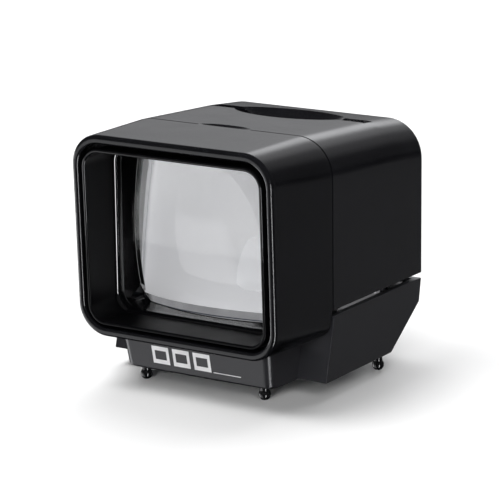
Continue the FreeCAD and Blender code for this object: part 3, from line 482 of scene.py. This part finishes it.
def rear_cover():
    front, back = COVER_DEPTHS
    ahead = [ring(front, COVER_FRONT)]
    behind = quarter(back, COVER_REAR, 0.4, -1, steps=4)
    crease = ring(BREAK, CREASE)
    fore = between(ahead[-1], crease, 40)
    aft = between(crease, behind[0], 20)
    rings = ahead + fore[4:36:4] + fore[-1:] + [crease] + aft[:1] + aft[3:20:4] + behind
    shell = skin("cover_shell", rings)
    wall = [ring(front - 0.5, (33.0, 23.0, 70.35, 0.3, 8.8)),
            ring(BREAK, (33.2, 23.0, SLOT_TOP - WALL, 0.3, 8.8)),
            ring(back - WALL, (33.3, 23.0, 67.0, 0.3, 8.8))]
    hollow = skin("hollow", wall)
    join(hollow, spindle("dish", SCOOP_DEPTH, SLOT_TOP, 19.3, 11.3, 6.8), "DIFFERENCE")
    join(shell, hollow, "DIFFERENCE")
    join(shell, block("slot", -26.25, 26.25, 58.9, 63.5, 60.0, 75.0), "DIFFERENCE")
    join(shell, spindle("scoop", SCOOP_DEPTH, SLOT_TOP, 18.0, 10.0, 5.5), "DIFFERENCE")
    join(shell, spindle("notch", 27.6, 72.35, 9.0, 3.6, 1.0), "DIFFERENCE")
    return smooth(shell, 25)


# ---- base ------------------------------------------------------------------------------------------

TONGUE_LOW, TONGUE_HIGH = 3.8, 14.4
TONGUE_FRONT_LOW, TONGUE_FRONT_HIGH = 12.7, 10.4
TONGUE_HALF_LOW, TONGUE_HALF_HIGH = 23.8, 24.8
TONGUE_ROOT, TONGUE_REAR = 26.1, 29.3
TONGUE_ROUND, TONGUE_STEPS = 2.8, 10
BASE_SLOPE_FRONT, BASE_SLOPE_REAR, BASE_SLOPE_HIGH = 58.4, 74.4, 16.4
BASE_WALL = 2.1
DOOR_DEPTHS = (25.8, BASE_SLOPE_FRONT)
DOOR_THICK = 1.6


def tongue_section(z, inset):
    """The tongue's outline at a height: two round corners, then flanks that widen to its root."""
    share = (z - TONGUE_LOW) / (TONGUE_HIGH - TONGUE_LOW)
    front = TONGUE_FRONT_LOW + (TONGUE_FRONT_HIGH - TONGUE_FRONT_LOW) * share + inset
    half = TONGUE_HALF_LOW + (TONGUE_HALF_HIGH - TONGUE_HALF_LOW) * share - inset
    root = TONGUE_ROOT - inset
    sweep = math.pi / 2 - math.atan((root - half) / (lean_depth(z) - front))
    centre_x = half - TONGUE_ROUND * math.tan(sweep / 2)
    centre_d = front + TONGUE_ROUND
    turns = [sweep * step / TONGUE_STEPS for step in range(TONGUE_STEPS + 1)]
    corner = [(centre_x + TONGUE_ROUND * math.sin(turn), centre_d - TONGUE_ROUND * math.cos(turn))
              for turn in turns]
    right = corner + [(root, lean_depth(z)), (root, TONGUE_REAR)]
    return [(-x, d) for x, d in reversed(right)] + right


def base_shell():
    outer = prism("base_tub", 35.5, [
        (LEAN_FOOT, BASE_LOW), (BASE_SLOPE_FRONT, BASE_LOW), (BASE_SLOPE_REAR, BASE_SLOPE_HIGH),
        (75.6, BASE_HIGH), (LEAN_TOP, BASE_HIGH)])
    bevel(outer, 0.3)
    levels = [(TONGUE_LOW, 0.9), (4.0, 0.5), (4.35, 0.16), (4.7, 0.0), (TONGUE_HIGH, 0.0)]
    rings = [[spot(x, d, z) for x, d in tongue_section(z, inset)] for z, inset in levels]
    tongue = skin("tongue", rings)
    wedge = prism("wedge", 40, [(TONGUE_FRONT_LOW, TONGUE_LOW), (TONGUE_FRONT_LOW, 2.0), (31, 2.0),
                                (31, BASE_LOW), (LEAN_FOOT, BASE_LOW)])
    join(tongue, wedge, "DIFFERENCE")
    join(tongue, block("tongue_hollow", -21.8, 21.8, 14.7, 27.2, 7.0, 12.6), "DIFFERENCE")
    slope = (BASE_SLOPE_HIGH - BASE_LOW) / (BASE_SLOPE_REAR - BASE_SLOPE_FRONT)
    inner = prism("inner", 33.6, [
        (lean_depth(7.0, -BASE_WALL), 7.0), (58.1, 7.0), (72.8, 7.3 + 14.4 * slope), (73.6, 24.2),
        (lean_depth(24.2, -BASE_WALL), 24.2)])
    join(outer, tongue, "UNION")
    join(outer, inner, "DIFFERENCE")
    join(outer, block("dip", -29.6, 29.6, LEAN_FOOT, 30.3, 16.4, 24.2), "DIFFERENCE")
    join(outer, block("door_hole", -26.6, 26.6, 25.6, 62.65, 4.0, 6.8), "DIFFERENCE")
    join(outer, block("bay_hole", -26.6, 26.6, 25.6, BASE_SLOPE_FRONT, BASE_LOW, 7.2), "DIFFERENCE")
    for side in (-1, 1):
        low, high = sorted((side * 26.4, side * 27.6))
        join(outer, block("groove", low, high, 26.8, 62.65, 5.7, 6.8), "DIFFERENCE")
        low, high = sorted((side * 27.7, side * 28.3))
        join(outer, block("rib", low, high, 27.5, 56.6, 6.5, 21.5), "UNION")
    return smooth(outer, 28)


def battery_door():
    start, end = DOOR_DEPTHS
    slope = (BASE_SLOPE_REAR - BASE_SLOPE_FRONT) / (BASE_SLOPE_HIGH - BASE_LOW)
    top = BASE_LOW + DOOR_THICK
    door = prism("door", 26.4, [(start, BASE_LOW), (end, BASE_LOW), (end + DOOR_THICK * slope, top),
                                (start, top)])
    bevel(door, 0.2, 2)
    for side in (-1, 1):
        low, high = sorted((side * 25.9, side * 27.4))
        join(door, block("rail", low, high, 27.0, 57.4, 5.8, top), "UNION")
    for step in range(5):
        groove = 28.8 + 2.0 * step
        join(door, block("grip", -9.0, 9.0, groove, groove + 0.9, 4.0, 5.4), "DIFFERENCE")
    return smooth(door, 28)


def slide_mark():
    """Print on the tongue: three plain slide frames and a thin rule, as thin as paint."""
    low = Vector((TONGUE_FRONT_LOW, TONGUE_LOW))
    high = Vector((TONGUE_FRONT_HIGH, TONGUE_HIGH))
    up = (high - low).normalized()
    out = Vector((-up.y, up.x)) * 0.03
    origin = low + up * 2.2
    points, faces = [], []

    def patch(x0, x1, h0, h1):
        start = len(points)
        for x, h in ((x0, h0), (x1, h0), (x1, h1), (x0, h1)):
            for lift in (-0.4, 1.0):
                d, z = origin + up * h + out * lift
                points.append(spot(x, d, z))
        s = start
        faces.extend([(s + 1, s + 3, s + 5, s + 7), (s, s + 6, s + 4, s + 2)])
        faces.extend([(s + a, s + b, s + c, s + e) for a, b, c, e in
                      ((0, 2, 3, 1), (2, 4, 5, 3), (4, 6, 7, 5), (6, 0, 1, 7))])
    wide, side_bar = 5.6, 0.9
    foot, sill, head, top = 0.4, 1.7, 4.5, 5.8
    for x in (-14.5, -7.6, -0.7):
        patch(x, x + wide, foot, sill)
        patch(x, x + wide, head, top)
        patch(x, x + side_bar, sill, head)
        patch(x + wide - side_bar, x + wide, sill, head)
    patch(5.6, 14.6, foot, 0.62)
    return mesh_from("slide_mark", points, faces)


def press_spring(node):
    """A copy of a spring on the base, with its own mesh, in place of the CAD spring."""
    coil = new_object(node.replace("spring", "coil"), NODES[node].data.copy())
    finish_piece(coil, "base", SPRING, [node])
    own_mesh(coil)


# ---- put it together ------------------------------------------------------------------------------

def paint_walls(tunnel):
    """The tunnel's inner walls are duller than its bead."""
    tunnel.data.materials.append(BAFFLE)
    front, end = TUNNEL_DEPTHS
    start, end = spot(0, front + 1.1, 0).y, spot(0, end - 0.2, 0).y
    for face in tunnel.data.polygons:
        if start < face.center.y < end:
            face.material_index = 1


for slot_name, material in SLOT_MATERIALS.items():
    for part in frame["record"]["subparts"]:
        if part["material_slot"] == slot_name:
            node = NODES[part["node"]]
            node.data.materials.clear()
            node.data.materials.append(material)
            for face in node.data.polygons:
                face.use_smooth = True
            node.data.set_sharp_from_angle(angle=math.radians(30))
# The base deck takes the painted glow and the painted shade at its sides.
NODES["base_deck"].data.materials[0] = DECK

finish_piece(front_hood(), "hood", HOOD, ["front_hood"])
paint_walls(finish_piece(viewing_tunnel(), "hood", INNER, ["viewing_tunnel"]))
finish_piece(lens_bezel(), "hood", BEZEL_BLACK, ["lens_bezel"])
finish_piece(magnifier_lens(), "hood", ACRYLIC, ["magnifier_lens"])
finish_piece(rear_cover(), "housing", COVER, ["rear_cover"])
finish_piece(base_shell(), "base", BASE, ["base_shell"])
finish_piece(battery_door(), "battery_door", BASE, ["battery_door"])
finish_piece(slide_mark(), "base", PRINT)
for side in ("left", "right"):
    for end in ("front", "rear"):
        press_spring("_".join(("press_spring", side, end)))


# ---- stage, light and camera ------------------------------------------------------------------------

def pale_floor():
    half = 3.0
    floor = mesh_from("floor", [(-half, -half, 0), (half, -half, 0), (half, half, 0), (-half, half, 0)],
                      [(0, 1, 2, 3)])
    floor.data.materials.append(surface("pale_floor", (0.86, 0.86, 0.86), (0.88, 0.88, 0.88),
                                        (0.6, 0.7), 3, 400, 0.002, Specular_IOR_Level=0.2))
    floor.visible_glossy = False


def studio_world(ambient, lobes, panels):
    """Soft boxes painted by direction: round lobes, and upright panels at a bearing.

    A lobe is a direction, the angles where it starts and ends fading, and its strength. A panel
    is a bearing from -Y towards +X, its half width, the heights between which it stands, and
    its strength. Rays that come out of the lens don't see the panels."""
    world = bpy.data.worlds.new("studio")
    bpy.context.scene.world = world
    world.use_nodes = True
    tree = world.node_tree
    way = add(tree, "ShaderNodeTexCoord").outputs["Generated"]

    def along(direction):
        unit = Vector(direction).normalized()
        return add(tree, "ShaderNodeVectorMath", {0: way, 1: unit},
                   operation="DOT_PRODUCT").outputs["Value"]

    def step(value, low, high, top):
        return add(tree, "ShaderNodeMapRange", {"Value": value, "From Min": low, "From Max": high,
                                                "To Min": 0.0, "To Max": top},
                   interpolation_type="SMOOTHSTEP").outputs["Result"]

    def maths(operation, *values):
        inputs = dict(enumerate(values))
        return add(tree, "ShaderNodeMath", inputs, operation=operation).outputs["Value"]

    height = along((0, 0, 1))
    above = step(height, 0.02, 0.10, 1.0)
    bends = add(tree, "ShaderNodeLightPath").outputs["Transmission Depth"]
    unbent = maths("LESS_THAN", bends, 0.5)
    total = step(height, -0.02, 0.02, ambient)
    for direction, inner, outer, strength in lobes:
        lobe = step(along(direction), math.cos(math.radians(outer)), math.cos(math.radians(inner)),
                    strength)
        total = maths("ADD", total, maths("MULTIPLY", lobe, above))
    for bearing, half_width, low, high, strength in panels:
        turn = math.radians(bearing)
        aside = maths("ABSOLUTE", along((math.cos(turn), math.sin(turn), 0)))
        edge = math.sin(math.radians(half_width))
        panel = maths("MULTIPLY", step(aside, edge * 1.3, edge * 0.8, strength),
                      step(along((math.sin(turn), -math.cos(turn), 0)), 0.1, 0.2, 1.0))
        panel = maths("MULTIPLY", panel, step(height, low, low + 0.1, 1.0))
        panel = maths("MULTIPLY", panel, step(height, high, high - 0.1, 1.0))
        panel = maths("MULTIPLY", panel, unbent)
        total = maths("ADD", total, panel)
    background = tree.nodes["Background"]
    tree.links.new(total, background.inputs["Strength"])
    background.inputs["Color"].default_value = (0.97, 0.975, 1.0, 1)


def soft_light(name, place, target, size, power):
    light = bpy.data.lights.new(name, "AREA")
    light.shape = "DISK"
    light.size = size
    light.energy = power
    lamp = bpy.data.objects.new(name, light)
    bpy.context.scene.collection.objects.link(lamp)
    lamp.location = place
    lamp.rotation_euler = (Vector(target) - Vector(place)).to_track_quat("-Z", "Y").to_euler()
    lamp.visible_glossy = False
    lamp.visible_transmission = False


def photo_camera():
    data = bpy.data.cameras.new("camera")
    data.lens = 192.96
    data.sensor_width = 36
    data.shift_x = -0.0004
    data.shift_y = -0.0235
    data.clip_start = 0.05
    camera = bpy.data.objects.new("camera", data)
    bpy.context.scene.collection.objects.link(camera)
    camera.location = (0.4010, -0.614875, 0.2198)
    aim = Vector((0, 0.001925, 0.038)) - camera.location
    look = aim.to_track_quat("-Z", "Y").to_matrix().to_4x4()
    camera.rotation_euler = (look @ Matrix.Rotation(math.radians(-0.66), 4, "Z")).to_euler()
    bpy.context.scene.camera = camera


pale_floor()
studio_world(0.06,
             lobes=[((-0.55, 0.80, 0.20), 10, 26, 0.5), ((-0.34, 0.84, 0.40), 3, 13, 1.7),
                    ((-0.14, 0.81, 0.56), 5, 20, 0.8), ((0.24, 0.81, 0.53), 4, 20, 0.3)],
             panels=[(57, 4.5, -0.8, 0.0, 18.0), (-78, 10, -0.7, 0.0, 5.0),
                     (-36, 15, -0.9, -0.05, 1.3), (150, 16, -0.6, -0.1, 0.15)])
soft_light("key", (-0.5, -0.3, 1.2), (0, 0, 0.04), 0.8, 12)
soft_light("fill", (0.9, -0.9, 0.9), (0, 0, 0.04), 0.8, 8)
soft_light("front", (0.3, -1.3, 0.35), (0, 0, 0.03), 0.5, 7)
soft_light("sweep", (-0.6, 1.4, 2.2), (-0.6, 1.3, 0), 2.4, 60)
photo_camera()
bpy.context.scene.view_settings.view_transform = "Standard"
